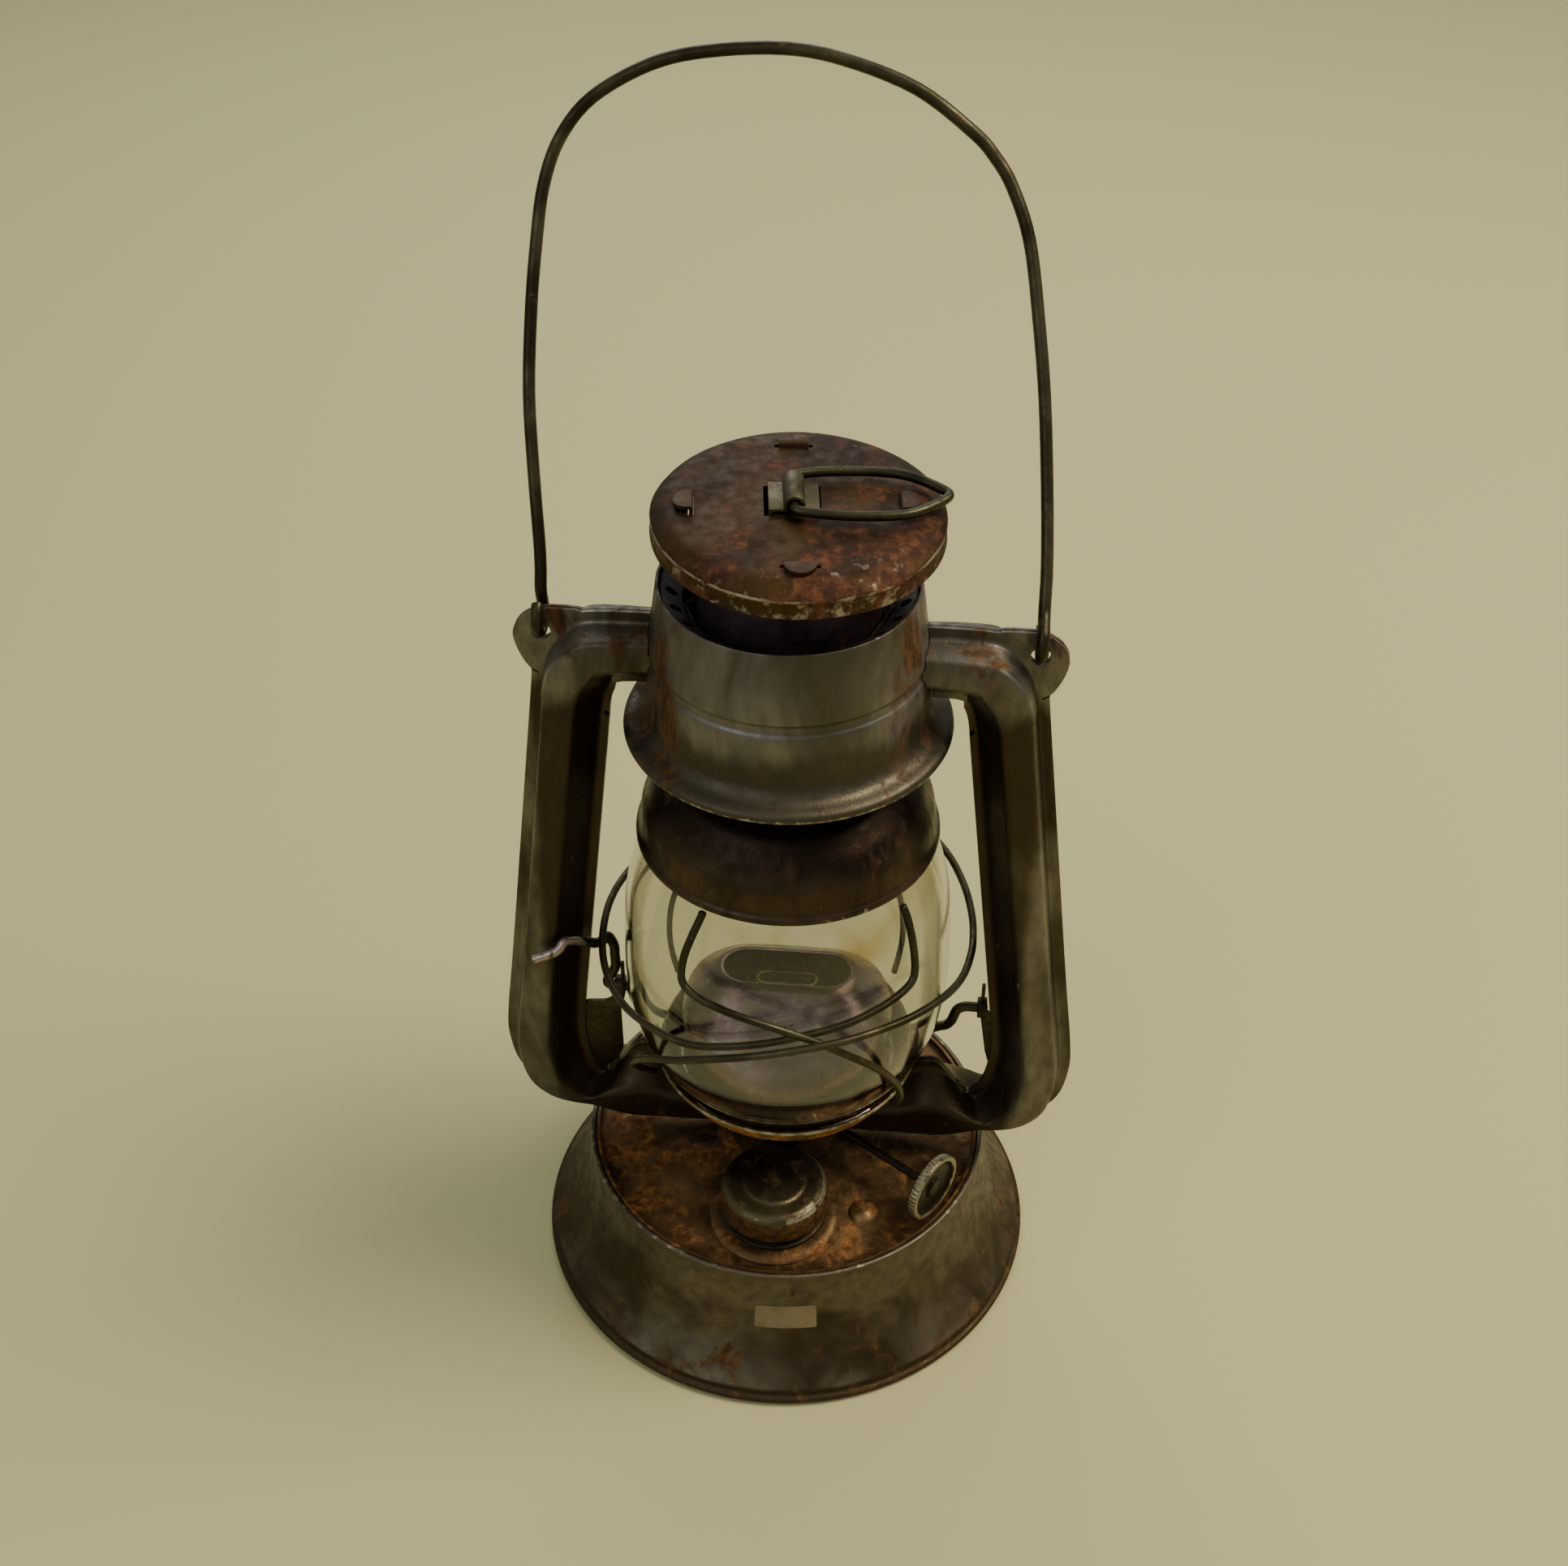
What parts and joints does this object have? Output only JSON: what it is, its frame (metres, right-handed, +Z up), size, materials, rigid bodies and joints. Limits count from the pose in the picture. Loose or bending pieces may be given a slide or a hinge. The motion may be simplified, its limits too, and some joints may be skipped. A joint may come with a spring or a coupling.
{
  "type": "hurricane lantern",
  "caption": "Kerosene hurricane lantern with a flared fount, glass globe in a wire guard, side air tubes, lifting hood and wire bail.",
  "frame": {"origin": "bottom centre of the fount, on the surface it stands on", "axes": "+X along the two side tubes, -Y towards the front with the filler cap, +Z up"},
  "size_m": [0.1474, 0.132, 0.3073],
  "materials": {
    "sheet": "dull patina",
    "dark_sheet": "dark patina",
    "rusty_sheet": "rusty",
    "wire": "dull",
    "brass": "tarnished",
    "cotton": "charred woven cotton",
    "cork": "raw cork",
    "glass": "clear"
  },
  "bodies": {
    "frame": {"fount_skirt": "sheet", "fount_pan": "sheet", "fount_top": "rusty_sheet", "filler_neck": "dark_sheet", "burner_collar": "brass", "burner_body": "brass", "wick_tube": "brass", "air_chamber": "sheet", "tube_right_front": "sheet", "tube_right_back": "sheet", "tube_left_front": "sheet", "tube_left_back": "sheet", "bracket_right": "dark_sheet", "bracket_left": "dark_sheet", "crown": "sheet", "crown_floor": "sheet", "draught_ring": "dark_sheet", "chimney_spring": "wire"},
    "filler_washer": {"filler_washer": "cork"},
    "filler_cap": {"filler_cap": "sheet"},
    "wick_drive": {"wick_wheel": "brass", "wick_shaft": "brass", "wick_knob": "brass"},
    "wick": {"wick": "cotton"},
    "lift_lever": {"lift_lever": "wire"},
    "globe_carrier": {"globe_plate": "rusty_sheet", "globe": "glass", "flame_cone": "sheet", "guard_left": "wire", "guard_right": "wire", "guard_strut_front": "wire", "guard_strut_back": "wire"},
    "hood_unit": {"bell": "sheet", "chimney": "dark_sheet", "hood": "rusty_sheet", "hood_leg_right": "dark_sheet", "hood_leg_back": "dark_sheet", "hood_leg_left": "dark_sheet", "hood_leg_front": "dark_sheet", "ring_bracket": "sheet"},
    "lift_ring": {"lift_ring": "wire"},
    "bail": {"bail": "wire"}
  },
  "joints": [
    {"name": "filler_lift", "type": "slide", "parent": "frame", "child": "filler_washer", "axis": [0, 0, 1], "range_m": [0, 0.006]},
    {"name": "filler_turn", "type": "hinge", "parent": "filler_washer", "child": "filler_cap", "pos_m": [-0.0006, -0.03055, 0.042], "axis": [0, 0, 1], "range_deg": [0, 864]},
    {"name": "wick_turn", "type": "hinge", "parent": "frame", "child": "wick_drive", "pos_m": [0, 0, 0.0449], "axis": [0.8211, -0.5707, 0], "range_deg": [-137.5, 91.6]},
    {"name": "wick_raise", "type": "slide", "parent": "frame", "child": "wick", "axis": [0, 0, 1], "range_m": [-0.006, 0.004]},
    {"name": "lever_turn", "type": "hinge", "parent": "frame", "child": "lift_lever", "pos_m": [0, 0, 0.083], "axis": [1, 0, 0], "range_deg": [0, 14.1]},
    {"name": "globe_lift", "type": "slide", "parent": "frame", "child": "globe_carrier", "axis": [0, 0, 1], "range_m": [0, 0.007]},
    {"name": "hood_lift", "type": "slide", "parent": "globe_carrier", "child": "hood_unit", "axis": [0, 0, 1], "range_m": [0, 0.01], "stiffness_N_per_m": 120, "springref_m": -0.012, "deforming": ["chimney_spring"]},
    {"name": "ring_hinge", "type": "hinge", "parent": "hood_unit", "child": "lift_ring", "pos_m": [0.00072, 0.00152, 0.23121], "axis": [0.1121, -0.9925, -0.0494], "range_deg": [0, 170]},
    {"name": "bail_hinge", "type": "hinge", "parent": "frame", "child": "bail", "pos_m": [0, 0, 0.1977], "axis": [1, 0, 0], "range_deg": [-100, 145]}
  ],
  "couplings": [
    {"joint": "filler_lift", "follows": "filler_turn", "m_per_rad": 0.00039789},
    {"joint": "wick_raise", "follows": "wick_turn", "m_per_rad": 0.0025},
    {"joint": "lever_turn", "follows": "globe_lift", "rad_per_m": 34.907}
  ]
}
